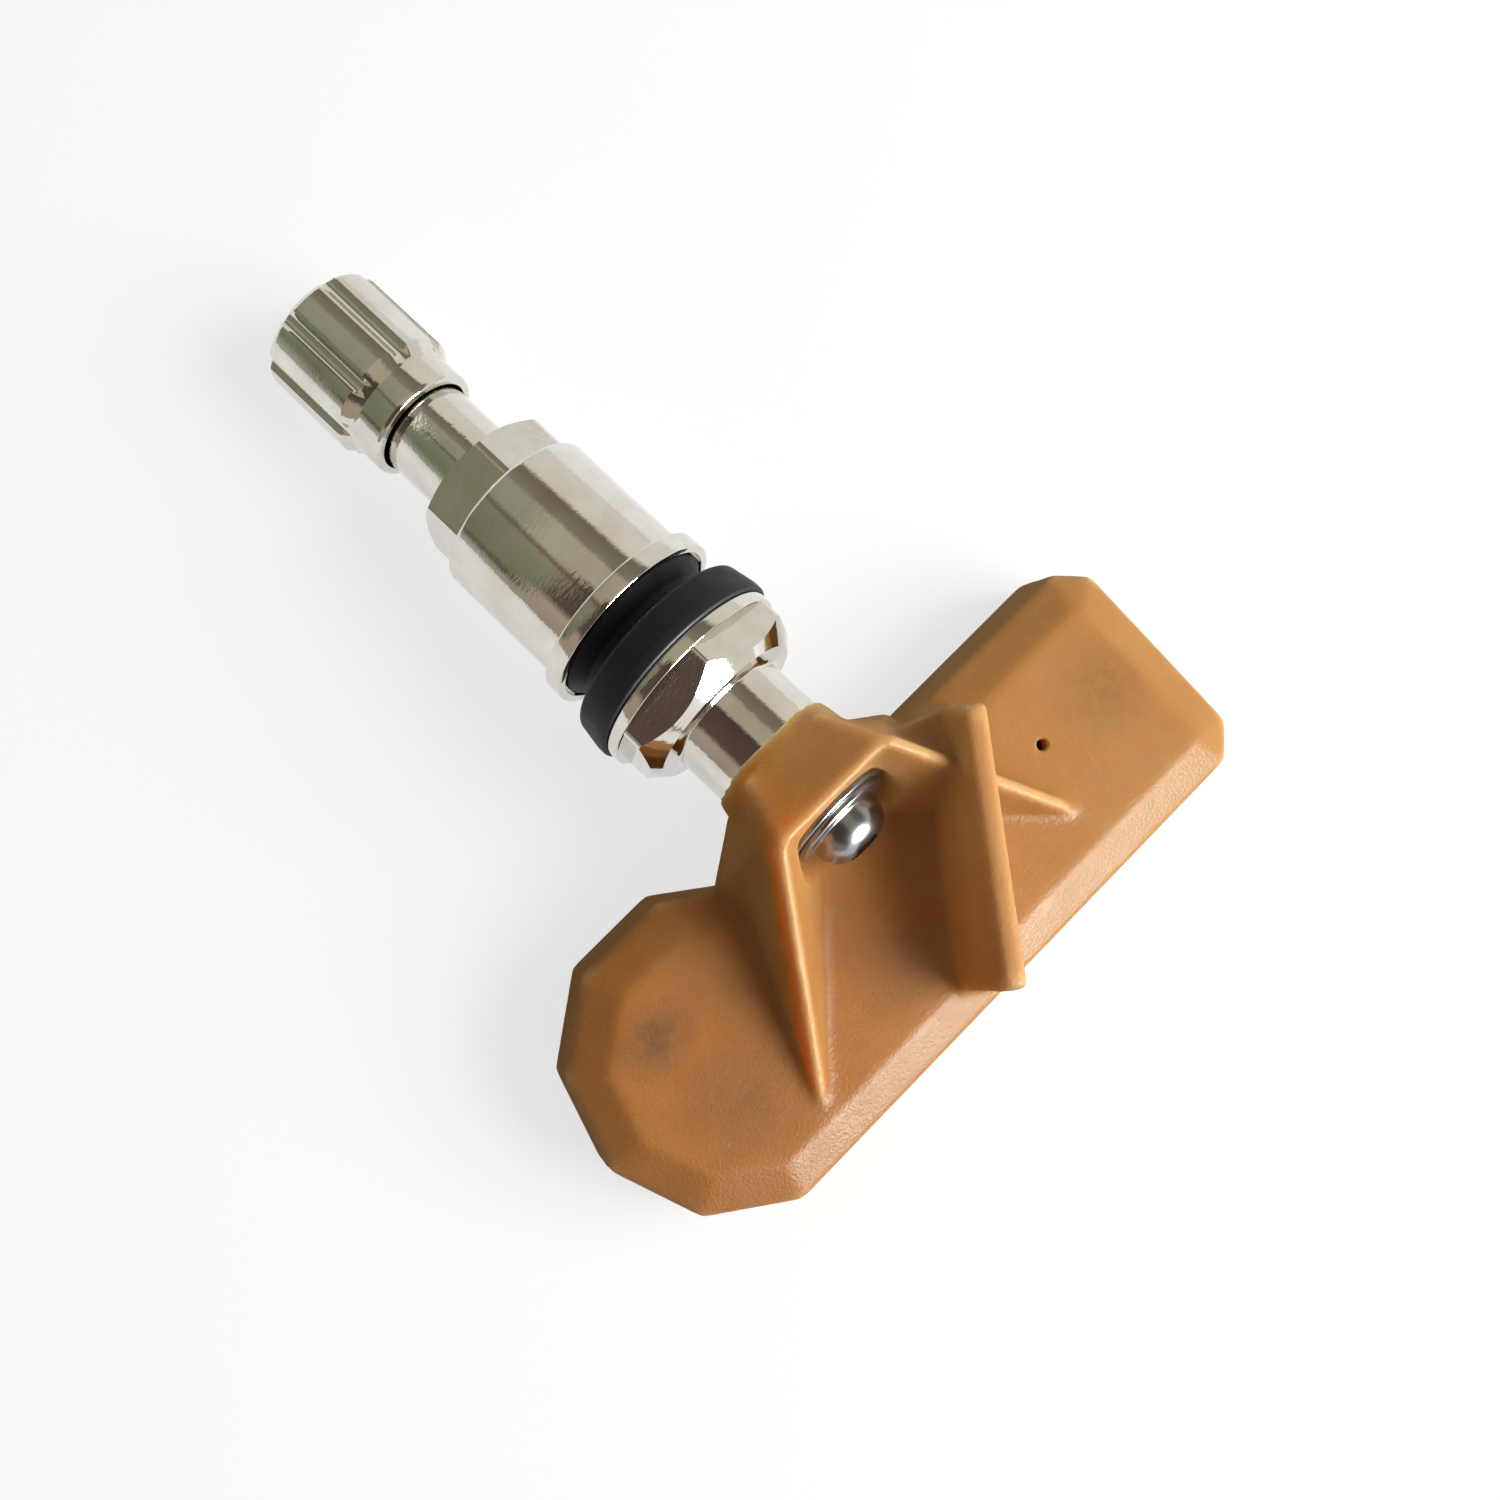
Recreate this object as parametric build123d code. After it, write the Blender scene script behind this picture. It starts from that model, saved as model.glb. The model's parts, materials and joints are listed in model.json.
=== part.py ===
from build123d import *
import os
from math import atan2, cos, degrees, hypot, pi, radians, sin, tan

os.makedirs("parts", exist_ok=True)

# Tyre pressure sensor: an amber plastic sensor body screwed to a plated clamp-in tyre valve.
# Sizes in millimetres. The body is drawn in its own frame first: X along the body, Y toward
# the valve, Z up from the body's underside, X = 0 at the valve. At the end everything is
# turned together so that it rests as on a table, on the cap and on the body's back edge.

# Body outline
pot_sides = 10               # the battery end is a ten-sided pot
pot_flat = 12.15             # pot centre to a flat
pot_from_valve = 16.93       # pot centre to the valve plane
body_reach = 28.92           # valve plane to the far end of the body
front_setback = 3.53         # body front stands back from the pot's front flat
corner_cut = 2.5             # cut corners at the far end
wall_rise = 7.6              # height of the side wall
wall_draft = 3.3             # mould draft of the side wall, degrees
bevel_run = 3.05             # bevel round the top, across
bevel_rise = 1.7             # bevel round the top, upward
edge_round = 0.9             # soft edge between bevel and top
shell_wall = 1.6
roof_wall = 1.5
cover_thick = 1.8
cover_gap = 0.05
overcut = 1.0                # cutters run this far past the faces that they open

# Valve axis in the body frame
valve_dip = 14.9             # the valve points this far below the body's top, degrees
lip_reach = 13.66            # body's front to the centre of the rubber lip's end face
lip_over_top = 0.1           # that centre over the body's top

# Screw tower, gussets and guard rib on the body
roof_front_half = 3.6        # sloping tower roof: half widths, and heights over the valve axis
roof_back_half = 5.3
roof_front_over = 5.3
roof_back_over = 6.6
tower_front = 9.9            # distances from the rubber lip along the valve axis
tower_back = 15.1
roof_split = 0.8             # share of the roof's slope over the foot's shoulder
foot_front_half = 4.9        # tower foot in plan: half widths, and reach from the body's front
foot_back_half = 9.3
foot_front_reach = 3.98
foot_shoulder_reach = 0.98
foot_back_reach = -2.62
foot_sunk = 1.3              # the foot lies this far under the body's top
skirt_level = 1.0            # where the sloping underside of the tower meets the front wall
skirt_step = 0.2
nose_front = 8.52            # round nose that takes the valve foot
nose_radius = 5.15
nose_flare = 0.25
nose_sunk = 1.0
gusset_top = 0.35            # half thickness of a gusset's crest
gusset_crest_draft = 9.0     # flank drafts: outer at the tower, outer at the far end, inner
gusset_outer_draft = 18.0
gusset_inner_draft = 24.0
gusset_end = 0.25            # crest height over the top at the gusset's far end
left_gusset_end = (-14.9, -7.3)
right_gusset_end = (14.25, -5.5)
rib_back = (-0.3, -9.2)      # crest ends of the upright guard rib
rib_front = (11.55, 6.9)
rib_thick = 1.75
rib_rise = 9.8               # over the body's top
rib_draft = 3.5
rib_round = 0.6
port_x = 15.9                # pressure port
port_y = -0.25
port_radius = 0.45

# Valve stem: stations count outward from the rubber lip, toward the cap
foot_end = -12.3
foot_radius = 4.87
collar_radius = 8.03
collar_thick = 1.12
hex_flats = 14.0
hex_thick = 3.05
hex_edge = 0.6
hex_turn = 31.7              # as it came to rest when screwed up, degrees
seat_radius = 4.2            # plain part under the rubber
seat_end = 9.3
thread_radius = 3.85
stem_tip = 38.0
tip_bevel = 0.4
chamber_radius = 2.6         # takes the valve core's thread
chamber_deep = 4.9
core_bore = 1.9
core_bore_room = 1.8         # bore left free under the valve core's pin
air_bore = 1.2
air_end = -5.9
cross_hole = 0.9
cross_station = -5.3
run_fit = 0.06               # radial clearance of the threads and of the foot

# Rubber grommet
lip_radius = 8.32
lip_thick = 0.8
flange_radius = 7.95
flange_face = 3.05
flange_round = 0.45
neck_radius = 5.65
neck_end = 4.3
bulge_radius = 6.7
bulge_start = 5.4
bulge_end = 6.1
tail_radius = 5.5
tail_end = 9.0

# Thrust ring and union nut
ring_front = 5.33
ring_step = 6.2
ring_back = 6.94
ring_radius = 7.6
ring_mouth = 6.95
ring_bore = 5.9
sleeve_radius = 6.82
sleeve_edge = 0.35
sleeve_bore = 6.0
sleeve_floor = 12.4
sleeve_end = 18.2
nut_flats = 11.0
nut_end = 22.15
nut_turn = 36.6
nut_edge = 0.45
nut_corner = 0.15            # turned off the hexagon's corners

# Valve cap, with its seal on the stem's tip
cap_length = 11.87
cap_collar = 4.71
cap_collar_length = 2.72
cap_flare = 0.9              # length of the cone from collar to lobes
cap_radius = 5.43
cap_lobes = 8
groove_radius = 0.73
groove_depth = 0.55
cap_edge = 0.5
rim_round = 0.3
rim_mouth = 0.15
cap_end_wall = 1.15
cap_seal_thick = 1.0
cap_seal_radius = 3.6

# Valve core: sunk into the stem's tip
plug_sunk = 1.4              # plug's end under the stem's tip
plug_length = 9.0
plug_tube = 1.45
plug_bore = 1.05
plug_lip_thick = 0.6
plug_lip_bore = 0.55
plug_slot = 1.2
plug_slot_depth = 1.6
core_seal_drop = 0.9         # seal's top under the chamber's floor
core_seal_length = 1.6
pin_radius = 0.45
pin_sunk = 0.5               # pin's end under the stem's tip
pin_button = 0.75
pin_button_thick = 0.6
pin_collar = 0.95
pin_collar_drop = 0.1        # collar's top under the chamber's floor
pin_collar_thick = 0.4
pin_foot_radius = 1.2
pin_foot_thick = 0.4
cup_radius = 1.4
cup_thick = 1.4
spring_mean = 0.75
spring_wire = 0.14
spring_turns = 5
spring_sides = 4             # the wire's section is a plain square

# Fixing screw and washer, measured inward from the rubber lip
screw_radius = 2.0
screw_fit = 0.05
screw_hole = 2.3
screw_end = 7.6
screw_bore_end = 7.2
washer_seat = 14.8
washer_thick = 0.65
washer_radius = 4.6
washer_bore = 2.2
washer_room = 0.25
washer_path = 6.0            # length of the round recess behind the washer
screw_flange = 4.05
screw_flange_thick = 0.5
screw_head = 2.95
screw_head_high = 2.4
screw_head_round = 1.1
star_radius = 1.15
star_lobe = 0.36
star_lobes = 6
star_depth = 1.3

# Electronics inside the body
board_thick = 1.0
board_round = 2.5
board_gap = 0.8              # board edge to the body's inner wall
board_pot_gap = 1.2          # board edge to the battery
post_radius = 1.2
post_inset = 2.5
battery_radius = 10.0
battery_thick = 3.2
tab_thick = 0.2
tab_width = 4.0
tab_y = -1.0
tab_reach = 5.0              # length of a tab over or under the battery
tab_land = 3.0               # length of a tab on the board
sensor_side = 6.0
sensor_thick = 1.9
port_seal_radius = 1.5
port_seal_bore = 0.6
radio_side = 4.0
radio_thick = 0.9
radio_place = (5.0, 0.5)
crystal_size = (3.2, 2.5, 0.8)
crystal_place = (9.5, 3.0)
coil_size = (7.0, 2.6, 2.2)
coil_flange = 0.5
coil_from_end = 6.08         # coil's middle from the board's far end and back edge
coil_from_back = 2.11
capacitor_size = (2.0, 1.25, 0.9)
capacitor_place = (2.0, -6.0)
capacitor_pitch = 3.0
capacitors_in_row = 3

body_top = wall_rise + bevel_rise
wall_inset = wall_rise * tan(radians(wall_draft))
body_front = pot_flat - front_setback
cavity_top = body_top - roof_wall
lip_y = body_front + lip_reach
lip_z = body_top + lip_over_top
foot_level = body_top - foot_sunk
foot_back_y = body_front + foot_back_reach

# Stations of the valve core and the cap, all from the stem's tip
chamber_floor = stem_tip - chamber_deep
plug_top = stem_tip - plug_sunk
plug_base = plug_top - plug_length
plug_lip = plug_base + plug_lip_thick
core_seal_high = chamber_floor - core_seal_drop
core_seal_low = core_seal_high - core_seal_length
pin_top = stem_tip - pin_sunk
pin_collar_high = chamber_floor - pin_collar_drop
pin_collar_low = pin_collar_high - pin_collar_thick
pin_foot_high = plug_base - cup_thick
pin_foot_low = pin_foot_high - pin_foot_thick
core_bore_end = pin_foot_low - core_bore_room
cap_floor = stem_tip + cap_seal_thick
cap_tip = cap_floor + cap_end_wall
cap_rim = cap_tip - cap_length
cap_collar_end = cap_rim + cap_collar_length
cap_shoulder = cap_collar_end + cap_flare


def turned(profile):
    """Solid of revolution about Z from (radius, station) corners"""
    return revolve(make_face(Polyline(*[(r, 0, s) for r, s in profile], close=True)), Axis.Z)


def plug(radius, low, high):
    return Pos(0, 0, low) * extrude(Circle(radius), high - low)


def body_outline(inset):
    """The long part of the body in plan, drawn in by an inset on every side"""
    left = -pot_from_valve
    right = body_reach - inset
    front = body_front - inset
    back = -pot_flat + inset
    cut = corner_cut - inset * (2 - 2 ** 0.5)
    corners = [(left, back), (right - cut, back), (right, back + cut), (right, front - cut),
               (right - cut, front), (left, front)]
    return make_face(Polyline(*corners, close=True))


def pot_outline(inset):
    """The ten-sided pot in plan, a flat toward the front"""
    reach = (pot_flat - inset) / cos(pi / pot_sides)
    return Pos(-pot_from_valve, 0) * RegularPolygon(reach, pot_sides)


def drafted(outline, low, high, inset_low, inset_high):
    lower = Pos(0, 0, low) * outline(inset_low)
    upper = Pos(0, 0, high) * outline(inset_high)
    return loft([lower, upper], ruled=True)


def on_axis(station, over=0.0):
    """Y and Z, in the body frame, of a point on or straight over the valve axis"""
    y = lip_y + station * cos(dip) + over * sin(dip)
    z = lip_z - station * sin(dip) + over * cos(dip)
    return y, z


dip = radians(valve_dip)
valve = Plane(origin=(0, lip_y, lip_z), x_dir=(1, 0, 0), z_dir=(0, cos(dip), -sin(dip)))
nodes = {}

# Housing: outer form of the moulding, pot and long part with one bevel round the top
housing = None
for outline in (body_outline, pot_outline):
    side_wall = drafted(outline, 0, wall_rise, 0, wall_inset)
    bevel = drafted(outline, wall_rise, body_top, wall_inset, wall_inset + bevel_run)
    housing = side_wall + bevel if housing is None else housing + side_wall + bevel
top_edges = housing.edges().filter_by_position(Axis.Z, body_top, body_top)
housing = fillet(top_edges, edge_round)

# Housing: screw tower, lofted from a foot outline up to the sloping roof and down to the wall
front_y, front_z = on_axis(-tower_front, roof_front_over)
crest_y, crest_z = on_axis(-tower_back, roof_back_over)
side_half = roof_front_half + (roof_back_half - roof_front_half) * roof_split
side_y = front_y + (crest_y - front_y) * roof_split
side_z = front_z + (crest_z - front_z) * roof_split


def mirrored_loop(right_side):
    """Closed outline from the corners of its right half, listed front to back"""
    left_side = [(-x, y, z) for x, y, z in reversed(right_side)]
    return make_face(Polyline(*right_side, *left_side, close=True))


roof = mirrored_loop([(roof_front_half, front_y, front_z), (side_half, side_y, side_z),
                      (roof_back_half, crest_y, crest_z)])
foot = mirrored_loop([(foot_front_half, body_front + foot_front_reach, foot_level),
                      (foot_back_half, body_front + foot_shoulder_reach, foot_level),
                      (foot_back_half, foot_back_y, foot_level)])
skirt_y = body_front - wall_inset
skirt = mirrored_loop([(foot_front_half, skirt_y, skirt_level),
                       (foot_back_half, skirt_y - skirt_step, skirt_level),
                       (foot_back_half, foot_back_y, skirt_level)])
tower = loft([foot, roof], ruled=True) + loft([skirt, foot], ruled=True)
nose_back = -tower_front - nose_sunk
nose = turned([(0, nose_back), (nose_radius + nose_flare, nose_back),
               (nose_radius + nose_flare, -tower_front), (nose_radius, -nose_front),
               (0, -nose_front)])
housing = housing + tower + valve * nose


def gusset(end, side):
    """Ridge from one end of the tower's crest down to the top face, with drafted flanks"""
    start = (side * roof_back_half, crest_y)
    run = (end[0] - start[0], end[1] - start[1])
    sections = []
    for place, crest, outer_draft in ((start, crest_z, gusset_crest_draft),
                                      (end, body_top + gusset_end, gusset_outer_draft)):
        rise = crest - foot_level
        inner = gusset_top + rise * tan(radians(gusset_inner_draft))
        outer = gusset_top + rise * tan(radians(outer_draft))
        across = Plane(origin=(place[0], place[1], 0), x_dir=(-run[1], run[0], 0),
                       z_dir=(run[0], run[1], 0))
        corners = [(side * outer, foot_level), (side * gusset_top, crest),
                   (-side * gusset_top, crest), (-side * inner, foot_level)]
        sections.append(across * make_face(Polyline(*corners, close=True)))
    return loft(sections, ruled=True)


housing = housing + gusset(left_gusset_end, -1) + gusset(right_gusset_end, 1)

# Housing: upright guard rib across the top, drafted on all sides, with a rounded crest
rib_sunk = roof_wall + bevel_rise
rib_run = (rib_front[0] - rib_back[0], rib_front[1] - rib_back[1])
rib_spread = 2 * (rib_rise + rib_sunk) * tan(radians(rib_draft))
rib_plan = Rectangle(hypot(*rib_run) + rib_spread, rib_thick + rib_spread)
rib = extrude(rib_plan, rib_rise + rib_sunk, taper=rib_draft)
rib = fillet(rib.edges().group_by(Axis.Z)[-1], rib_round)
rib_middle = ((rib_back[0] + rib_front[0]) / 2, (rib_back[1] + rib_front[1]) / 2)
rib_turn = degrees(atan2(rib_run[1], rib_run[0]))
housing = housing + Pos(rib_middle[0], rib_middle[1], body_top - rib_sunk) * Rot(0, 0, rib_turn) * rib

# Housing: hollow for the electronics, pressure port, bore for the valve foot, screw hole, washer seat
for outline in (body_outline, pot_outline):
    housing = housing - drafted(outline, 0, cavity_top, shell_wall, shell_wall + wall_inset)
housing = housing - Pos(port_x, port_y) * plug(port_radius, cavity_top - overcut, body_top + overcut)
foot_bore = plug(foot_radius + run_fit, foot_end, 0)
screw_way = plug(screw_hole, -washer_seat - overcut, foot_end + overcut)
washer_way = plug(washer_radius + washer_room, -washer_seat - washer_path, -washer_seat)
nodes["housing"] = housing - valve * (foot_bore + screw_way + washer_way)

# Base cover: closes the hollow from below, with posts that carry the circuit board
board_top = cover_thick + tab_thick + battery_thick
board_low = board_top - board_thick
cover_sides = cover_thick * tan(radians(wall_draft))
cover_inset = shell_wall + cover_gap
base_cover = None
for outline in (body_outline, pot_outline):
    plate = drafted(outline, 0, cover_thick, cover_inset, cover_inset + cover_sides)
    base_cover = plate if base_cover is None else base_cover + plate
board_left = -pot_from_valve + battery_radius + board_pot_gap
board_edge = shell_wall + wall_inset + board_gap
board_right = body_reach - board_edge
board_front = body_front - board_edge
board_back = -pot_flat + board_edge
for post_x in (board_left + post_inset, board_right - post_inset):
    for post_y in (board_back + post_inset, board_front - post_inset):
        base_cover = base_cover + Pos(post_x, post_y) * plug(post_radius, 0, board_low)
nodes["base_cover"] = base_cover

# Circuit board beside the battery
board_middle = ((board_left + board_right) / 2, (board_back + board_front) / 2)
board_plan = RectangleRounded(board_right - board_left, board_front - board_back, board_round)
nodes["circuit_board"] = Pos(*board_middle, board_low) * extrude(board_plan, board_thick)

# Coin cell and its two welded tabs
nodes["battery"] = Pos(-pot_from_valve, 0) * plug(battery_radius, cover_thick + tab_thick, board_top)
tab_start = -pot_from_valve + battery_radius - tab_reach
tab_finish = board_left + tab_land
tab_side = Plane(origin=(0, tab_y, 0), x_dir=(1, 0, 0), z_dir=(0, -1, 0))


def tab(corners):
    """Bent strip of sheet metal along corners given in X and Z"""
    strip = trace(Polyline(*corners), tab_thick)
    return tab_side * extrude(strip, tab_width / 2, both=True)


upper = board_top + tab_thick / 2
under = cover_thick + tab_thick / 2
board_under = board_low - tab_thick / 2
tab_bend = board_left - board_pot_gap / 2
nodes["battery_tab_top"] = tab([(tab_start, upper), (tab_finish, upper)])
nodes["battery_tab_bottom"] = tab([(tab_start, under), (tab_bend, under), (tab_bend, board_under),
                                   (tab_finish, board_under)])


def chip(place, size, low):
    block = Box(*size, align=(Align.CENTER, Align.CENTER, Align.MIN))
    return Pos(place[0], place[1], low) * block


# Parts on the board: the sensor sits under the port and is sealed to the roof round it
nodes["sensor_chip"] = chip((port_x, port_y), (sensor_side, sensor_side, sensor_thick), board_top)
seal_low = board_top + sensor_thick
seal_ring = plug(port_seal_radius, seal_low, cavity_top) - plug(port_seal_bore, seal_low, cavity_top)
nodes["port_seal"] = Pos(port_x, port_y) * seal_ring
nodes["radio_chip"] = chip(radio_place, (radio_side, radio_side, radio_thick), board_top)
nodes["crystal"] = chip(crystal_place, crystal_size, board_top)
coil_core = Box(coil_size[0], coil_size[1], coil_size[2], align=(Align.CENTER, Align.CENTER, Align.MIN))
coil_waist_size = (coil_size[0] - 2 * coil_flange, coil_size[1] + overcut, coil_size[2] + overcut)
coil_round = min(coil_size[1], coil_size[2]) / 2 - coil_flange / 2
coil_waist = Box(*coil_waist_size) - Rot(0, 90, 0) * Cylinder(coil_round, coil_size[0])
antenna_coil = coil_core - Pos(0, 0, coil_size[2] / 2) * coil_waist
coil_place = (board_right - coil_from_end, board_back + coil_from_back)
nodes["antenna_coil"] = Pos(*coil_place, board_top) * antenna_coil
row = [chip((capacitor_place[0] + k * capacitor_pitch, capacitor_place[1]), capacitor_size, board_top)
       for k in range(capacitors_in_row)]
nodes["capacitors"] = Compound(row)

# Valve stem: turned from one bar, hexagon milled behind the collar, drilled for core, air and screw
hex_low = -collar_thick - hex_thick
stem = turned([(0, foot_end), (foot_radius, foot_end), (foot_radius, -collar_thick),
               (collar_radius, -collar_thick), (collar_radius, 0), (seat_radius, 0),
               (seat_radius, seat_end - seat_radius + thread_radius), (thread_radius, seat_end),
               (thread_radius, stem_tip - tip_bevel), (thread_radius - tip_bevel, stem_tip), (0, stem_tip)])
hex_block = Pos(0, 0, hex_low) * extrude(
    RegularPolygon(hex_flats / 2, 6, major_radius=False, rotation=hex_turn), hex_thick)
hex_reach = hex_flats / 2 / cos(pi / 6)
hex_soft = hex_reach - hex_flats / 2
hex_limit = turned([(0, hex_low), (hex_flats / 2 - hex_edge, hex_low), (hex_reach, hex_low + hex_soft),
                    (hex_reach, -collar_thick), (0, -collar_thick)])
stem = stem + (hex_block & hex_limit)
core_taper = chamber_radius - core_bore
air_taper = core_bore - air_bore
stem = stem - turned([(0, air_end), (air_bore, air_end), (air_bore, core_bore_end - air_taper),
                      (core_bore, core_bore_end), (core_bore, chamber_floor - core_taper),
                      (chamber_radius, chamber_floor), (chamber_radius, stem_tip), (0, stem_tip)])
stem = stem - plug(screw_radius + screw_fit, foot_end, -screw_bore_end)
stem = stem - Pos(0, 0, cross_station) * Rot(-90, 0, 0) * plug(cross_hole, 0, foot_radius + overcut)
nodes["valve_stem"] = valve * stem

# Rubber grommet: flange inside the wheel, neck in the rim hole, bulge in the nut's mouth
nodes["grommet"] = valve * turned([
    (seat_radius, 0), (lip_radius, 0), (lip_radius, lip_thick), (flange_radius, flange_face - flange_round),
    (flange_radius - flange_round, flange_face), (neck_radius, flange_face), (neck_radius, neck_end),
    (bulge_radius, bulge_start), (bulge_radius, bulge_end), (tail_radius, bulge_end),
    (tail_radius, tail_end), (seat_radius, tail_end)])

# Thrust ring: stepped, bears on the end of the union nut's sleeve
nodes["thrust_ring"] = valve * turned([
    (ring_mouth, ring_front), (ring_radius, ring_front), (ring_radius, ring_back), (ring_bore, ring_back),
    (ring_bore, ring_step), (ring_mouth, ring_step)])

# Union nut: hexagon and plain sleeve, threaded on the stem, hollow over the rubber
nut_bore = thread_radius + run_fit
nut_reach = nut_flats / 2 / cos(pi / 6)
nut_soft = (nut_reach - nut_flats / 2 + nut_edge) / 2
sleeve = turned([(0, ring_back), (sleeve_radius, ring_back), (sleeve_radius, sleeve_end - sleeve_edge),
                 (sleeve_radius - sleeve_edge, sleeve_end), (0, sleeve_end)])
nut_block = Pos(0, 0, sleeve_end) * extrude(
    RegularPolygon(nut_flats / 2, 6, major_radius=False, rotation=nut_turn), nut_end - sleeve_end)
nut_limit = turned([(0, sleeve_end), (nut_reach - nut_corner, sleeve_end),
                    (nut_reach - nut_corner, nut_end - nut_soft),
                    (nut_flats / 2 - nut_edge, nut_end), (0, nut_end)])
nut_hollow = turned([(0, ring_back), (sleeve_bore, ring_back), (sleeve_bore, sleeve_floor),
                     (nut_bore, sleeve_floor + (sleeve_bore - nut_bore) / 2), (nut_bore, nut_end),
                     (0, nut_end)])
nodes["union_nut"] = valve * (sleeve + (nut_block & nut_limit) - nut_hollow)

# Valve cap: plain collar and eight lobes, closed at the tip
cap = turned([(0, cap_rim), (cap_collar - rim_round, cap_rim), (cap_collar, cap_rim + rim_round),
              (cap_collar, cap_collar_end), (cap_radius, cap_shoulder), (cap_radius, cap_tip - cap_edge),
              (cap_radius - cap_edge, cap_tip), (0, cap_tip)])
groove_at = cap_radius - groove_depth + groove_radius
groove = Pos(groove_at, 0, 0) * plug(groove_radius, cap_collar_end, cap_tip + overcut)
for k in range(cap_lobes):
    cap = cap - Rot(0, 0, (k + 0.5) * 360 / cap_lobes) * groove
cap_bore = thread_radius + run_fit
cap_hollow = turned([(0, cap_rim), (cap_bore + rim_mouth, cap_rim), (cap_bore, cap_rim + 2 * rim_mouth),
                     (cap_bore, cap_floor), (0, cap_floor)])
nodes["valve_cap"] = valve * (cap - cap_hollow)
nodes["cap_seal"] = valve * plug(cap_seal_radius, stem_tip, cap_floor)

# Valve core: threaded plug with a tube, seal, sprung pin and the cup that shuts the tube's end
core_plug = turned([(plug_lip_bore, plug_base), (plug_tube, plug_base), (plug_tube, chamber_floor),
                    (chamber_radius - run_fit, chamber_floor), (chamber_radius - run_fit, plug_top),
                    (plug_bore, plug_top), (plug_bore, plug_lip), (plug_lip_bore, plug_lip)])
slot = Pos(0, 0, plug_top) * Box(3 * chamber_radius, plug_slot, 2 * plug_slot_depth)
nodes["core_plug"] = valve * (core_plug - slot)
nodes["core_seal"] = valve * (plug(core_bore, core_seal_low, core_seal_high)
                              - plug(plug_tube, core_seal_low, core_seal_high))
core_pin = plug(pin_radius, pin_foot_low, pin_top)
core_pin = core_pin + plug(pin_button, pin_top - pin_button_thick, pin_top)
core_pin = core_pin + plug(pin_collar, pin_collar_low, pin_collar_high)
core_pin = core_pin + plug(pin_foot_radius, pin_foot_low, pin_foot_high)
nodes["core_pin"] = valve * core_pin
nodes["pin_cup"] = valve * (plug(cup_radius, pin_foot_high, plug_base)
                            - plug(pin_radius, pin_foot_high, plug_base))
spring_low = plug_lip + spring_wire
spring_high = pin_collar_low - spring_wire
spring_line = Pos(0, 0, spring_low) * Helix((spring_high - spring_low) / spring_turns,
                                            spring_high - spring_low, spring_mean)
wire = RegularPolygon(spring_wire, spring_sides)
wire_start = Plane(origin=spring_line @ 0, z_dir=spring_line % 0) * wire
nodes["core_spring"] = valve * sweep(wire_start, path=spring_line, is_frenet=True)

# Fixing screw with its washer: through the tower into the valve foot
washer_back = -washer_seat - washer_thick
washer = plug(washer_radius, washer_back, -washer_seat) - plug(washer_bore, washer_back, -washer_seat)
nodes["screw_washer"] = valve * washer
flange_back = washer_back - screw_flange_thick
head_back = flange_back - screw_head_high
head_slopes = [radians(a) for a in (0, 30, 60, 90)]
head_corner = [(screw_head - screw_head_round * (1 - cos(a)), head_back + screw_head_round * (1 - sin(a)))
               for a in head_slopes]
screw = turned([(0, -screw_end), (screw_radius, -screw_end), (screw_radius, washer_back),
                (screw_flange, washer_back), (screw_flange, flange_back), (screw_head, flange_back),
                *head_corner, (0, head_back)])
star = Circle(star_radius)
for k in range(star_lobes):
    star = star + Rot(0, 0, k * 360 / star_lobes) * Pos(star_radius, 0) * Circle(star_lobe)
nodes["fixing_screw"] = valve * (screw - Pos(0, 0, head_back) * extrude(star, star_depth))


def rest_gap(turn):
    """Cap's lowest point less the body's back edge when all is turned front up by an angle"""
    ring_y, ring_z = on_axis(cap_tip - cap_edge)
    ring = ring_y * sin(turn) + ring_z * cos(turn)
    cap_low = ring - cap_radius * cos(dip - turn)
    return cap_low + pot_flat * sin(turn)


# Resting turn: halve the range until cap and back edge both touch the table
low_turn = radians(-20.0)
high_turn = radians(40.0)
for _ in range(50):
    rest_turn = (low_turn + high_turn) / 2
    if rest_gap(rest_turn) < 0:
        low_turn = rest_turn
    else:
        high_turn = rest_turn

turned_nodes = {name: Rot(degrees(rest_turn), 0, 0) * shape for name, shape in nodes.items()}
box = Compound(list(turned_nodes.values())).bounding_box()
middle = box.center()
rest = Pos(-middle.X, -middle.Y, -box.min.Z)
for name, shape in turned_nodes.items():
    export_step(rest * shape, f"parts/{name}.step")
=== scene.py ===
import json
from math import acos, asin, cos, pi, radians, sin, tan

import bmesh
import bpy
import numpy as np
from mathutils import Matrix, Vector


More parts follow.
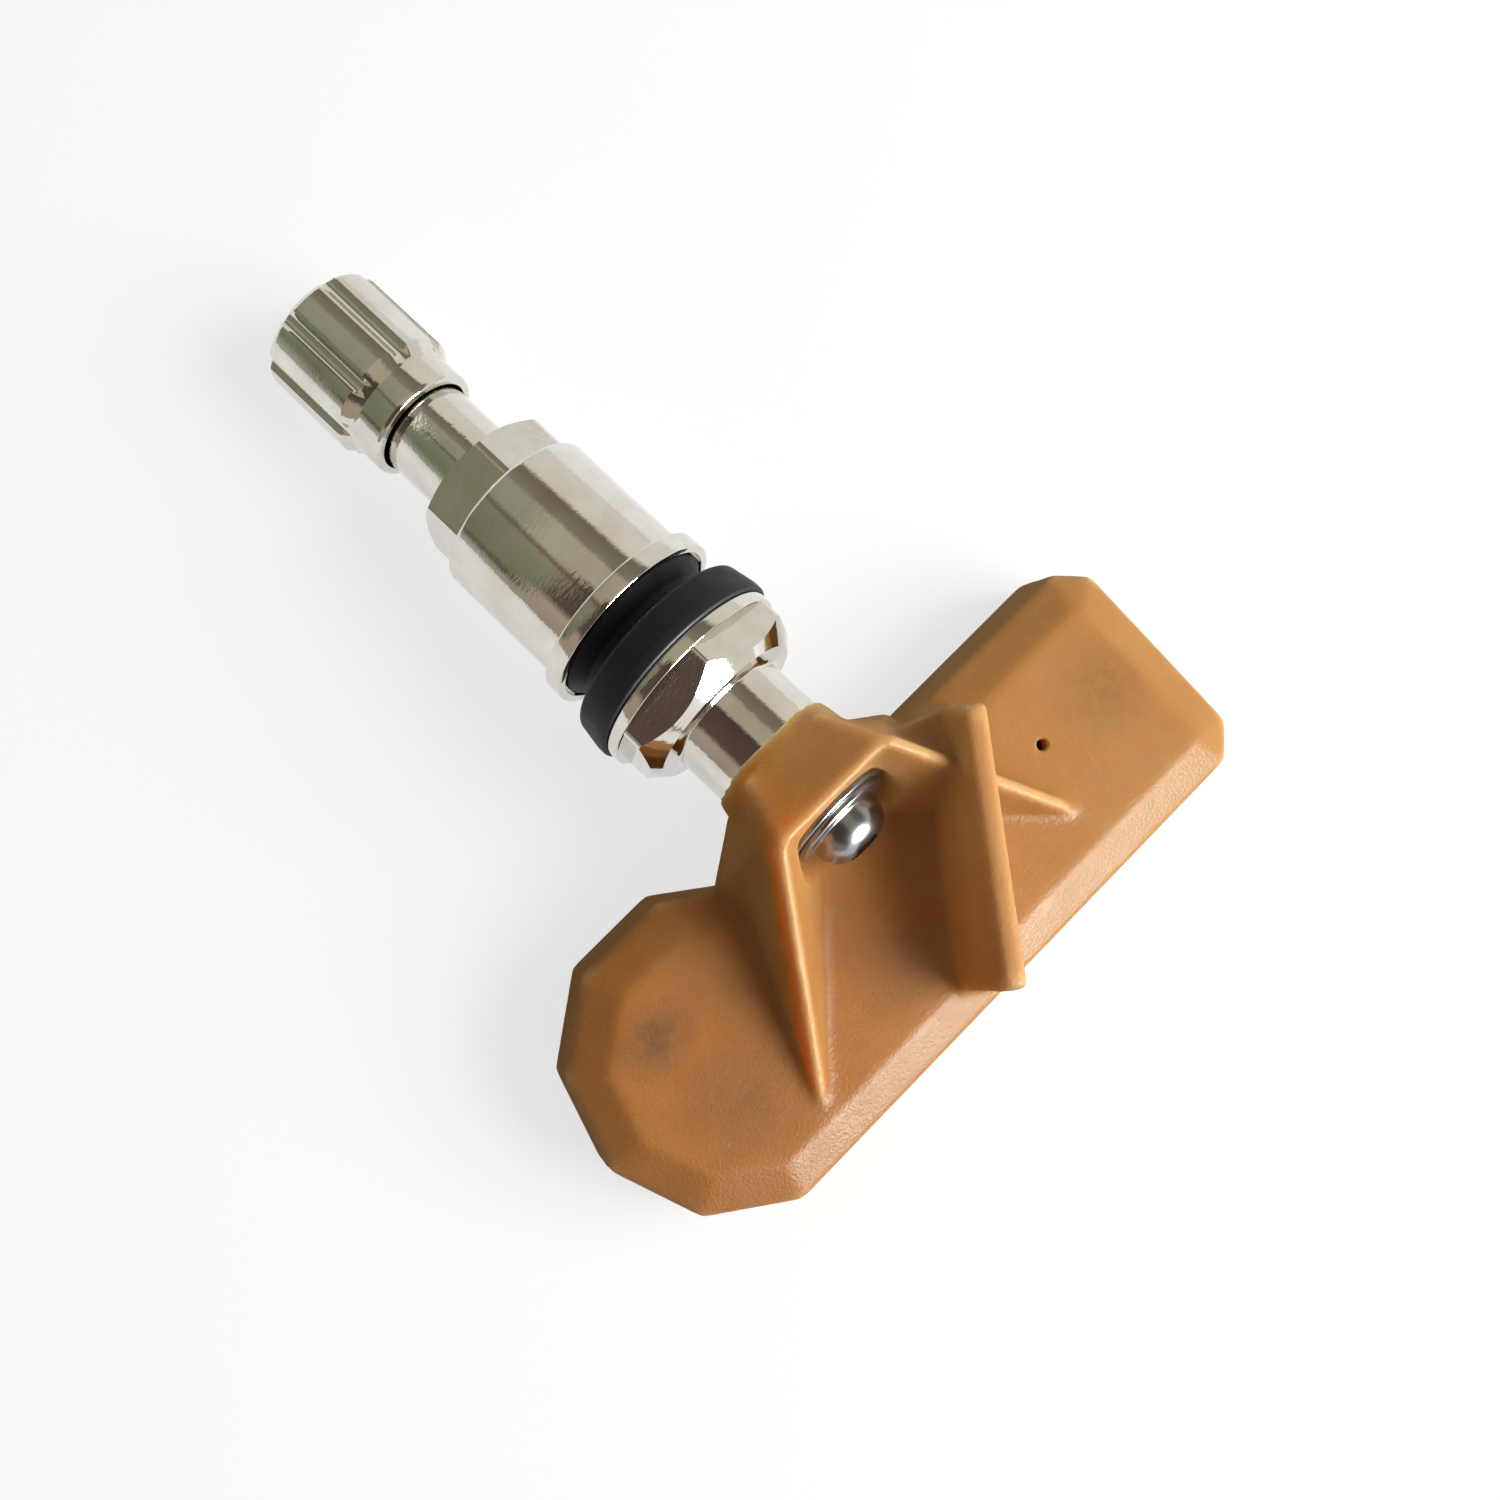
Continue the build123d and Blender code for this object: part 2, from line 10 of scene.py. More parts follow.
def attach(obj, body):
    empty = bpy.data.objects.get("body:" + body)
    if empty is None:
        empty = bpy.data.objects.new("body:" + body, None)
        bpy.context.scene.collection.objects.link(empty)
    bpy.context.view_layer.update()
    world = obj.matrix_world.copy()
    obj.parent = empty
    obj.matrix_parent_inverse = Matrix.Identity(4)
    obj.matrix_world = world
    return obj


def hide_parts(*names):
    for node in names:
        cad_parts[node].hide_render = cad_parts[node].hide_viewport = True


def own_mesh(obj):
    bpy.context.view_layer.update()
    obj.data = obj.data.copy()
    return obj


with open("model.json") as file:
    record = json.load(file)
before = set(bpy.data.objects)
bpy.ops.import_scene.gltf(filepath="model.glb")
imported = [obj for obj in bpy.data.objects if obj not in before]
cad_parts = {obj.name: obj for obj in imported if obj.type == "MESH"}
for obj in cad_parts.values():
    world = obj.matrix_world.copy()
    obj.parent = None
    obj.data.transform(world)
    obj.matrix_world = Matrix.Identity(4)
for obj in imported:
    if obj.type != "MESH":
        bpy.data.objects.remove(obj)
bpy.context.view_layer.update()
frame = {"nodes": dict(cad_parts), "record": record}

# Housing: the sensor's shell, one moulding of amber glass-filled plastic that lets a little light
# through its thin edges. Battery pot, long end, screw tower, gussets and guard rib are all one piece.
# The soft edges are those of a worn mould. Lengths are in millimetres, in the sensor's own axes.
mm = 0.001
stem_tip = 38.0                            # valve's end from the rubber lip, along the valve
valve_dip = radians(14.9)                  # valve below the body's top face
lip_in_body = Vector((0.0, 22.28, 9.4))
thread_mount = next(m for m in frame["record"]["mounts"] if m["name"] == "valve_thread")
valve_out = Vector(thread_mount["axis"])
lip = Vector(thread_mount["pos_m"]) - valve_out * stem_tip * mm
valve_slope = asin(-valve_out.z)
valve_turn = -(pi / 2 + valve_slope)
body_turn = valve_dip - valve_slope
valve_frame = Matrix.Translation(lip) @ Matrix.Rotation(valve_turn, 4, "X") @ Matrix.Scale(mm, 4)
body_frame = (Matrix.Translation(lip) @ Matrix.Rotation(body_turn, 4, "X") @ Matrix.Scale(mm, 4)
              @ Matrix.Translation(-lip_in_body))
body_top = 9.3
roof_wall = 1.5
port_at = (15.9, -0.25)
port_radius = 0.45
port_lead = 0.15                           # soft edge of the port
port_filling = 3 * port_radius             # the solid's port is filled, and cut again in the skin
web_corners = (                            # soft filling between right gusset and rib: x, y, low, high
    (8.5, 4.5, 9.0, 15.9), (9.0, 4.9, 9.0, 15.9), (6.4, 9.4, 6.5, 13.0), (10.8, 7.7, 6.5, 14.0))
moulding_cell = 0.28                       # cell of the skin that is laid over the solid
moulding_relax = (0.5, 16)                 # share and rounds of the smoothing that softens its edges
skin_weld = 0.001                          # points of the solid that are nearer than this are one
piece_weld = 0.0001                        # the same for a finished piece
rod_sides = 32
cut_past = 1.0                             # how far a cutter passes the surface
sharp_angle = radians(33)                  # edges with a wider bend stay sharp


def shown(name, mesh):
    piece = bpy.data.objects.new(name, mesh)
    bpy.context.scene.collection.objects.link(piece)
    return piece


def applied(piece):
    """The piece's modifiers made into a plain mesh"""
    settled = piece.evaluated_get(bpy.context.evaluated_depsgraph_get())
    mesh = bpy.data.meshes.new_from_object(settled)
    piece.modifiers.clear()
    piece.data = mesh
    return piece


def softened(piece, place=None):
    """Merges, turns all faces outward, shades smooth with the true edges kept, and sets the mesh in place"""
    made = bmesh.new()
    made.from_mesh(piece.data)
    bmesh.ops.remove_doubles(made, verts=made.verts, dist=piece_weld if place else piece_weld * mm)
    bmesh.ops.recalc_face_normals(made, faces=made.faces)
    for face in made.faces:
        face.smooth = True
    for edge in made.edges:
        edge.smooth = edge.calc_face_angle(0.0) < sharp_angle
    if place:
        bmesh.ops.transform(made, matrix=place, verts=made.verts)
    made.to_mesh(piece.data)
    made.free()
    return piece


def cut(piece, cutter):
    """Takes the cutter's volume out of the piece"""
    tool = shown("cutter", cutter)
    knife = piece.modifiers.new("cut", "BOOLEAN")
    knife.operation = "DIFFERENCE"
    knife.solver = "EXACT"
    knife.object = tool
    applied(piece)
    bpy.data.objects.remove(tool)
    return piece


def rod(low_radius, high_radius, low, high, place):
    """A closed mesh rod along Z, for filling and cutting"""
    made = bmesh.new()
    bmesh.ops.create_cone(made, cap_ends=True, segments=rod_sides, radius1=low_radius, radius2=high_radius,
                          depth=high - low, matrix=place @ Matrix.Translation((0, 0, (low + high) / 2)))
    mesh = bpy.data.meshes.new("rod")
    made.to_mesh(mesh)
    made.free()
    return mesh


skin = bmesh.new()
skin.from_mesh(frame["nodes"]["housing"].data)
bmesh.ops.transform(skin, matrix=body_frame.inverted(), verts=skin.verts)
bmesh.ops.remove_doubles(skin, verts=skin.verts, dist=skin_weld)
port_frame = Matrix.Translation((*port_at, 0))
skin.from_mesh(rod(port_filling, port_filling, body_top - roof_wall, body_top, port_frame))
web = bmesh.new()
for x, y, low, high in web_corners:
    for z in (low, high):
        web.verts.new((x, y, z))
bmesh.ops.convex_hull(web, input=web.verts)
web_mesh = bpy.data.meshes.new("web")
web.to_mesh(web_mesh)
web.free()
skin.from_mesh(web_mesh)
housing_mesh = bpy.data.meshes.new("housing_skin")
skin.to_mesh(housing_mesh)
skin.free()
housing = shown("housing_skin", housing_mesh)
remesh = housing.modifiers.new("skin", "REMESH")
remesh.mode = "VOXEL"
remesh.voxel_size = moulding_cell
remesh.adaptivity = 0.0
relax = housing.modifiers.new("relax", "SMOOTH")
relax.factor, relax.iterations = moulding_relax
applied(housing)
cut(housing, rod(port_radius, port_radius, body_top - 2 * roof_wall, body_top + cut_past, port_frame))
cut(housing, rod(port_radius, port_radius + 2 * port_lead, body_top - port_lead, body_top + port_lead,
                 port_frame))
softened(housing, body_frame)

# Marks on the skin for its material. Crests are pale, as edge wear and a painted highlight. The thin wall under
# the crests left of the valve gets a painted glow for the light it lets through, on the side turned from the
# light.
# Steep walls are dull.
grid_ways = 4                              # neighbours of a point in the skin's grid of cells
crest_bend = 0.5                           # bend at which a crest starts to look pale, for each millimetre
bend_rounds = 4                            # rounds of spreading over the skin, for the bend and the marks
crest_rounds = 8
painted_glow_rounds = 120
crest_gain = 1.6
painted_glow_gain = 4.5
painted_glow_rise = 1.0                            # the painted glow comes in over this height above the body's top, and over this width left of the valve
painted_glow_side = 3.0                            # and over this width left of the valve
painted_glow_level = 0.6                           # painted glow of a level face, and what a turn to the right takes off it
painted_glow_turn = 0.8
steep_start = 0.45                         # upward part of a face's direction where the dull walls start
steep_span = 0.25
skin_mesh = housing.data
points = np.empty((len(skin_mesh.vertices), 3), dtype=np.float32)
ways = np.empty_like(points)
ends = np.empty((len(skin_mesh.edges), 2), dtype=np.int32)
skin_mesh.vertices.foreach_get("co", points.ravel())
skin_mesh.vertices.foreach_get("normal", ways.ravel())
skin_mesh.edges.foreach_get("vertices", ends.ravel())
ends = np.concatenate((ends, ends[:, ::-1]))
neighbours = np.bincount(ends[:, 0], minlength=len(points))


def near_mean(values):
    """Mean of each point's neighbours on the skin"""
    return np.bincount(ends[:, 0], values[ends[:, 1]], len(points)) / neighbours


def spread(values, rounds):
    for _ in range(rounds):
        values = (values + near_mean(values)) / 2
    return values


rise = sum((points[:, k] - near_mean(points[:, k])) * ways[:, k] for k in range(3))
bend = rise * grid_ways / (moulding_cell**2 * mm)
body_points = np.c_[points, np.ones(len(points))] @ np.array(body_frame.inverted()).T
from_port = np.hypot(body_points[:, 0] - port_at[0], body_points[:, 1] - port_at[1])
sharp = np.clip((spread(bend, bend_rounds) - crest_bend) / crest_bend, 0, 1)
sharp[from_port < port_filling] = 0
# Pale crests: edge wear and a painted highlight along every sharp bend
crest_wear_and_highlight = np.clip(spread(sharp, crest_rounds) * crest_gain, 0, 1)
above_top = np.clip((body_points[:, 2] - body_top) / painted_glow_rise, 0, 1)
left_of_valve = np.clip(-body_points[:, 0] / painted_glow_side, 0, 1)
from_light = np.clip(painted_glow_level - painted_glow_turn * ways[:, 0], 0, 1)
# Painted glow: a deep orange on thin walls left of the valve, strongest on faces turned from the lamp on the
# right
painted_glow = np.clip(spread(sharp, painted_glow_rounds) * painted_glow_gain, 0, 1) * above_top * left_of_valve * from_light
body_up = np.array(body_frame.col[2][:3]) / mm
steep = np.clip((steep_start - ways @ body_up) / steep_span, 0, 1)
for mark_name, mark_values in (("crest_wear_and_highlight", crest_wear_and_highlight), ("painted_glow", painted_glow), ("steep", steep)):
    mark = skin_mesh.attributes.new(mark_name, "FLOAT", "POINT")
    mark.data.foreach_set("value", mark_values.astype(np.float32))


def shade_group(name, inputs, outputs):
    """Empty shader group with named sockets, and its input and output nodes"""
    group = bpy.data.node_groups.new(name, "ShaderNodeTree")
    for socket, kind in inputs:
        group.interface.new_socket(socket, in_out="INPUT", socket_type=kind)
    for socket, kind in outputs:
        group.interface.new_socket(socket, in_out="OUTPUT", socket_type=kind)
    return group, group.nodes.new("NodeGroupInput"), group.nodes.new("NodeGroupOutput")


def feed(tree, value, socket):
    """Links another node's socket to this one, or sets it to a plain value"""
    if isinstance(value, bpy.types.NodeSocket):
        tree.links.new(value, socket)
    else:
        socket.default_value = value


def noise_in(tree, vector, scale, detail, roughness):
    noise = tree.nodes.new("ShaderNodeTexNoise")
    for socket, value in (("Vector", vector), ("Scale", scale), ("Detail", detail), ("Roughness", roughness)):
        feed(tree, value, noise.inputs[socket])
    return noise.outputs["Fac"]


def math_in(tree, operation, first, second=0.0, third=0.0):
    node = tree.nodes.new("ShaderNodeMath")
    node.operation = operation
    for socket, value in zip(node.inputs, (first, second, third)):
        feed(tree, value, socket)
    return node.outputs[0]


def vector_in(tree, operation, first, second=(0.0, 0.0, 0.0)):
    node = tree.nodes.new("ShaderNodeVectorMath")
    node.operation = operation
    for socket, value in zip(node.inputs, (first, second)):
        feed(tree, value, socket)
    return node.outputs["Value" if operation == "LENGTH" else "Vector"]


def range_in(tree, value, low, high, to_low=0.0, to_high=1.0):
    node = tree.nodes.new("ShaderNodeMapRange")
    for socket, number in (("Value", value), ("From Min", low), ("From Max", high), ("To Min", to_low),
                           ("To Max", to_high)):
        feed(tree, number, node.inputs[socket])
    return node.outputs["Result"]


def colour_in(tree, share, first, second):
    """Mix of two colours by a share; each colour is a socket or three linear values"""
    node = tree.nodes.new("ShaderNodeMix")
    node.data_type = "RGBA"
    tree.links.new(share, node.inputs["Factor"])
    for socket, colour in ((node.inputs["A"], first), (node.inputs["B"], second)):
        feed(tree, colour if isinstance(colour, bpy.types.NodeSocket) else (*colour, 1.0), socket)
    return node.outputs["Result"]


def group_in(tree, group, **inputs):
    """A group placed in a material, with its inputs set by name (an underscore stands for a space)"""
    node = tree.nodes.new("ShaderNodeGroup")
    node.node_tree = group
    for name, value in inputs.items():
        feed(tree, value, node.inputs[name.replace("_", " ")])
    return node.outputs


def mark_in(tree, name):
    """A mark that a mesh carries at its points"""
    node = tree.nodes.new("ShaderNodeAttribute")
    node.attribute_name = name
    return node.outputs["Fac"]


def finish(name, place):
    """New material whose Mapping node turns Object coordinates into millimetres in a frame of the part"""
    material = bpy.data.materials.new(name)
    material.use_nodes = True
    tree = material.node_tree
    where = tree.nodes.new("ShaderNodeTexCoord")
    mapping = tree.nodes.new("ShaderNodeMapping")
    mapping.vector_type = "TEXTURE"
    mapping.inputs["Location"].default_value = place.to_translation()
    mapping.inputs["Rotation"].default_value = place.to_euler("XYZ")
    mapping.inputs["Scale"].default_value = place.to_scale()
    tree.links.new(where.outputs["Object"], mapping.inputs["Vector"])
    return material, tree, tree.nodes["Principled BSDF"], mapping.outputs["Vector"]


def bump_in(tree, shader, height, depth):
    """Relief of a given depth in millimetres on the shader's normal"""
    bump = tree.nodes.new("ShaderNodeBump")
    bump.inputs["Distance"].default_value = depth * mm
    tree.links.new(height, bump.inputs["Height"])
    tree.links.new(bump.outputs["Normal"], shader.inputs["Normal"])


# The skin of a moulding: fine grain left by the mould, and slow changes of tone in the material
noise_span = (0.3, 0.7)                    # where nearly all of a noise lies
moulded_skin, skin_in, skin_out = shade_group(
    "moulded_skin",
    [("Vector", "NodeSocketVector"), ("Grain", "NodeSocketFloat"), ("Cloud", "NodeSocketFloat")],
    [("Height", "NodeSocketFloat"), ("Tone", "NodeSocketFloat")])
skin_way = skin_in.outputs["Vector"]
grain = noise_in(moulded_skin, skin_way, skin_in.outputs["Grain"], detail=3.0, roughness=0.6)
cloud = noise_in(moulded_skin, skin_way, skin_in.outputs["Cloud"], detail=4.0, roughness=0.62)
moulded_skin.links.new(grain, skin_out.inputs["Height"])
moulded_skin.links.new(range_in(moulded_skin, cloud, *noise_span), skin_out.inputs["Tone"])

# A rubbed patch: worn and greyed by handling, broken up where the hand missed
rub_heart = 0.3                            # share of the patch that is rubbed in full
rub_missed = (0.35, 0.62)                  # span of the noise from missed to rubbed
rub_least = 0.4                            # what a missed spot still takes
rub_mark, rub_in, rub_out = shade_group(
    "rub_mark",
    [("Vector", "NodeSocketVector"), ("Place", "NodeSocketVector"), ("Size", "NodeSocketVector")],
    [("Mask", "NodeSocketFloat")])
off_centre = vector_in(rub_mark, "SUBTRACT", rub_in.outputs["Vector"], rub_in.outputs["Place"])
off_share = vector_in(rub_mark, "LENGTH", vector_in(rub_mark, "DIVIDE", off_centre, rub_in.outputs["Size"]))
rub_noise = noise_in(rub_mark, rub_in.outputs["Vector"], scale=0.9, detail=5.0, roughness=0.7)
rub_break = range_in(rub_mark, rub_noise, *rub_missed, rub_least, 1.0)
rub_fall = range_in(rub_mark, off_share, 1.0, rub_heart)
rub_mark.links.new(math_in(rub_mark, "MULTIPLY", rub_fall, rub_break), rub_out.inputs["Mask"])

pot_tones = ((0.485, 0.198, 0.051), (0.525, 0.234, 0.073))     # deep and pale
end_tones = ((0.535, 0.26, 0.077), (0.575, 0.302, 0.105))
pot_to_end_span = (-20.0, 20.0)                 # span of x over which the tone goes from the deeper, redder pot tones to the paler, yellower end tones
amber_rubbed = (0.2, 0.105, 0.055)
rubbed = (                                 # place, size and strength of each rubbed patch
    ((-20.2, 4.85, body_top), (3.8, 2.9, 1.5), 0.75), ((-18.9, -2.7, body_top), (5.4, 5.2, 1.5), 0.4),
    ((22.15, -0.4, body_top), (4.6, 4.6, 1.5), 0.36))
# Colours of the marks: a painted glow of light let through thin walls, and pale crests of wear and painted
# highlight
marked = (                                 # strength and colour of the skin's marks
    ("painted_glow", 0.85, (0.95, 0.27, 0.012)), ("crest_wear_and_highlight", 0.75, (0.76, 0.46, 0.2)))
amber_gloss = (0.39, 0.31)                 # roughness of the deep and the pale tone
steep_dull = 0.45                          # what a steep wall adds to it
amber_shine = 0.08
amber_cloudy = 0.8                         # share of the light that goes into the plastic,
amber_depth = 2.0                          # how deep it goes, and how that falls from red to blue
amber_depths = (1.0, 0.6, 0.25)
amber, tree, shader, body_mm = finish("amber_moulding", body_frame)
skin_marks = group_in(tree, moulded_skin, Vector=body_mm, Grain=4.0, Cloud=0.22)
body_way = tree.nodes.new("ShaderNodeSeparateXYZ")
tree.links.new(body_mm, body_way.inputs["Vector"])
pot_tone, end_tone = (colour_in(tree, skin_marks["Tone"], *tones) for tones in (pot_tones, end_tones))
tone = colour_in(tree, range_in(tree, body_way.outputs["X"], *pot_to_end_span), pot_tone, end_tone)
for rub_place, rub_size, rub_share in rubbed:
    mark = group_in(tree, rub_mark, Vector=body_mm, Place=rub_place, Size=rub_size)["Mask"]
    tone = colour_in(tree, math_in(tree, "MULTIPLY", mark, rub_share), tone, amber_rubbed)
# The marks go into the base colour: the painted glow, and the pale crests of wear and painted highlight
for mark_name, mark_share, mark_colour in marked:
    mark = math_in(tree, "MULTIPLY", mark_in(tree, mark_name), mark_share)
    tone = colour_in(tree, mark, tone, mark_colour)
tree.links.new(tone, shader.inputs["Base Color"])
satin = range_in(tree, skin_marks["Tone"], 0.0, 1.0, *amber_gloss)
dull_walls = math_in(tree, "MULTIPLY_ADD", mark_in(tree, "steep"), steep_dull, satin)
tree.links.new(dull_walls, shader.inputs["Roughness"])
shader.inputs["Specular IOR Level"].default_value = amber_shine
shader.inputs["Subsurface Weight"].default_value = amber_cloudy
shader.inputs["Subsurface Radius"].default_value = amber_depths
shader.inputs["Subsurface Scale"].default_value = amber_depth * mm
bump_in(tree, shader, skin_marks["Height"], depth=0.07)
housing.data.materials.append(amber)
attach(housing, "sensor")
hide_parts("housing")


# Base cover: flat plate moulded from the same plastic, welded into the housing's open underside. The
# posts on its inner face carry the circuit board.
def dress(material, *nodes):
    """Gives CAD nodes their material"""
    for node in nodes:
        slots = frame["nodes"][node].data.materials
        slots.clear()
        slots.append(material)


dress(amber, "base_cover")

# Circuit board: green glass-fibre laminate with a faint weave under the lacquer. It is cut to the shape of
# the housing's hollow and rests on the base cover's posts.
laminate_tones = ((0.012, 0.085, 0.03), (0.02, 0.13, 0.05))


def toned(tree, shader, share, tones):
    """Base colour that drifts between two tones"""
    tree.links.new(colour_in(tree, share, *tones), shader.inputs["Base Color"])


laminate, tree, shader, board_mm = finish("green_laminate", body_frame)
laminate_marks = group_in(tree, moulded_skin, Vector=board_mm, Grain=9.0, Cloud=1.5)
toned(tree, shader, laminate_marks["Tone"], laminate_tones)
shader.inputs["Roughness"].default_value = 0.35
bump_in(tree, shader, laminate_marks["Height"], depth=0.01)
dress(laminate, "circuit_board")

# Coin cell, its two tabs and the crystal's can: drawn from stainless sheet with a fine rolled grain. The
# tabs are welded to the cell and soldered to the board.
sheet_tones = ((0.42, 0.42, 0.43), (0.55, 0.55, 0.55))
sheet_gloss = (0.24, 0.4)
rolled_grain = (0.6, 9.0, 9.0)             # long along the sheet and fine across it
sheet_steel, tree, shader, sheet_mm = finish("rolled_sheet_steel", body_frame)
rolled = vector_in(tree, "MULTIPLY", sheet_mm, rolled_grain)
rolled_marks = group_in(tree, moulded_skin, Vector=rolled, Grain=1.0, Cloud=0.3)
toned(tree, shader, rolled_marks["Tone"], sheet_tones)
tree.links.new(range_in(tree, rolled_marks["Height"], *noise_span, *sheet_gloss), shader.inputs["Roughness"])
shader.inputs["Metallic"].default_value = 1.0
dress(sheet_steel, "battery", "battery_tab_top", "battery_tab_bottom", "crystal")

# Pressure sensor, radio chip and the wire-wound coil: packages moulded from black resin and soldered to
# the board.
package_tones = ((0.012, 0.012, 0.013), (0.024, 0.024, 0.025))
package, tree, shader, chip_mm = finish("black_package", body_frame)
package_marks = group_in(tree, moulded_skin, Vector=chip_mm, Grain=12.0, Cloud=2.0)
toned(tree, shader, package_marks["Tone"], package_tones)
shader.inputs["Roughness"].default_value = 0.55
bump_in(tree, shader, package_marks["Height"], depth=0.015)
dress(package, "sensor_chip", "radio_chip", "antenna_coil")

# Capacitors: small blocks of fired brown ceramic, soldered to the board beside the chips. They smooth the
# supply of the radio.
ceramic_tones = ((0.27, 0.13, 0.055), (0.36, 0.19, 0.085))
ceramic, tree, shader, ceramic_mm = finish("fired_ceramic", body_frame)
ceramic_marks = group_in(tree, moulded_skin, Vector=ceramic_mm, Grain=10.0, Cloud=1.2)
toned(tree, shader, ceramic_marks["Tone"], ceramic_tones)
shader.inputs["Roughness"].default_value = 0.6
dress(ceramic, "capacitors")

# Valve stem: turned from one brass bar and nickel plated. Round foot in the tower, hexagon and collar
# behind the rubber, plain shank, and the fine valve thread under the cap. Drilled for core and air.
round_steps = 288                          # points round the axis, the same number on every flat
round_ways = np.arange(round_steps) * 2 * pi / round_steps
foot_end = -12.3
foot_radius = 4.87
screw_bore = 2.05
screw_bore_end = -7.2
air_bore = 1.2
air_end = -5.9
cross_hole = 0.9                           # air hole through the foot's underside
cross_station = -5.3
collar_radius = 8.03
collar_low = -1.12
hex_flats = 14.0
hex_low = collar_low - 3.05
hex_turn = radians(31.7)
hex_face = hex_flats / 2 - 0.6             # where the turned bevel under the hexagon starts
hex_bevel = 0.95                           # that bevel's rise for each millimetre outward
seat_radius = 4.2
seat_end = 9.3
seat_lead = 0.35
thread_radius = 3.85
thread_low = 29.0
thread_high = 37.5
thread_pitch = 0.794
thread_rings = 8                           # rings of points for each turn
thread_depth = 0.42
thread_flank = 1.25                        # slope of the flanks, and the flat on the crest
thread_flat = 0.12
tip_lead = 0.4
chamber_radius = 2.6
chamber_floor = stem_tip - 4.9
core_bore = 1.9
core_bore_end = 24.0
drill_lead = 0.7                           # height of the cones between the bores


def rounded(corners, steps=5):
    """Turned outline as (radius, station) points; a corner's third number is the radius of its rounding"""
    path = []
    for k, (radius, station, soft) in enumerate(corners):
        here = np.array((radius, station))
        if soft == 0:
            path.append((radius, station))
            continue
        before = np.array(corners[k - 1][:2]) - here
        after = np.array(corners[(k + 1) % len(corners)][:2]) - here
        before /= np.hypot(*before)
        after /= np.hypot(*after)
        half = acos(before @ after) / 2
        middle = here + (before + after) / np.hypot(*(before + after)) * soft / sin(half)
        first = here + before * soft / tan(half) - middle
        last = here + after * soft / tan(half) - middle
        for share in np.linspace(0, 1, steps + 1):
            spoke = first * (1 - share) + last * share
            path.append(tuple(middle + spoke / np.hypot(*spoke) * soft))
    return path


def turned(name, rows, start=0.0):
    """Surface through rings about the valve axis, in millimetres along the valve. A row is a radius and a
    station, each one number or one for every direction; the first direction is start."""
    spokes = start + round_ways
    points, faces, last = [], [], []
    for radius, station in rows:
        first = len(points)
        if np.max(radius) == 0:
            ring = [first] * round_steps
            points.append((0.0, 0.0, station))
        else:
            ring = list(range(first, first + round_steps))
            along = np.broadcast_to(station, round_steps)
            points += list(zip(radius * np.cos(spokes), radius * np.sin(spokes), along))
        for k in range(round_steps if last else 0):
            corner = (last[k], last[k - 1], ring[k - 1], ring[k])
            faces.append(tuple(dict.fromkeys(corner)))
        last = ring
    mesh = bpy.data.meshes.new(name)
    mesh.from_pydata([tuple(map(float, p)) for p in points], [], faces)
    return shown(name, mesh)


def hexagon(flats, corner_off):
    """Reach of a hexagon in every direction, first direction at a corner, with its corners turned off"""
    reach = flats / 2 / cos(pi / 6)
    from_flat = round_ways % (pi / 3) - pi / 6
    return np.minimum(flats / 2 / np.cos(from_flat), reach - corner_off)


stem_hex = hexagon(hex_flats, corner_off=0.08)
thread_spokes = hex_turn + round_ways
thread_rows = []
for station in np.arange(thread_low, thread_high, thread_pitch / thread_rings):
    phase = (station / thread_pitch - thread_spokes / (2 * pi)) % 1
    ramp_in = np.clip(min(station - thread_low, thread_high - station) / thread_pitch, 0, 1)
    thread_cut = np.clip(thread_flank * np.abs(2 * phase - 1) - thread_flat, 0, 1)
    thread_rows.append((thread_radius - thread_depth * ramp_in * thread_cut, station))
stem_rows = (
    rounded([(0, screw_bore_end, 0), (screw_bore, screw_bore_end, 0), (screw_bore, foot_end, 0.2),
             (foot_radius, foot_end, 0.3), (foot_radius, hex_low, 0.35), (hex_face, hex_low, 0)])
    + [(stem_hex, hex_low + (stem_hex - hex_face) * hex_bevel), (stem_hex, collar_low)]
    + rounded([(hex_face, collar_low, 0), (collar_radius, collar_low, 0.2), (collar_radius, 0, 0.2),
               (seat_radius, 0, 0), (seat_radius, seat_end - seat_lead, 0), (thread_radius, seat_end, 0)])[1:]
    + thread_rows
    + rounded([(thread_radius, thread_high, 0), (thread_radius, stem_tip - tip_lead, 0.1),
               (thread_radius - tip_lead, stem_tip, 0.1), (chamber_radius, stem_tip, 0.15),
               (chamber_radius, chamber_floor, 0), (core_bore, chamber_floor - drill_lead, 0),
               (core_bore, core_bore_end, 0), (air_bore, core_bore_end - drill_lead, 0),
               (air_bore, air_end, 0), (0, air_end, 0)]))
stem = turned("valve_stem_plated", stem_rows, hex_turn)
down_from_axis = Matrix.Translation((0, 0, cross_station)) @ Matrix.Rotation(-pi / 2, 4, "X")
cut(stem, rod(cross_hole, cross_hole, 0, foot_radius + cut_past, down_from_axis))
softened(stem, valve_frame)

# The marks of turning: chatter that runs round the valve, short along it and long round it
turned_marks, marks_in, marks_out = shade_group(
    "turned_marks",
    [("Vector", "NodeSocketVector"), ("Around", "NodeSocketFloat"), ("Along", "NodeSocketFloat")],
    [("Height", "NodeSocketFloat"), ("Tone", "NodeSocketFloat")])
flat_way = vector_in(turned_marks, "MULTIPLY", marks_in.outputs["Vector"], (1.0, 1.0, 0.0))
spoke_way = vector_in(turned_marks, "NORMALIZE", flat_way)
around_scale = turned_marks.nodes.new("ShaderNodeCombineXYZ")
along_scale = turned_marks.nodes.new("ShaderNodeCombineXYZ")
for axis_name in ("X", "Y"):
    turned_marks.links.new(marks_in.outputs["Around"], around_scale.inputs[axis_name])
turned_marks.links.new(marks_in.outputs["Along"], along_scale.inputs["Z"])
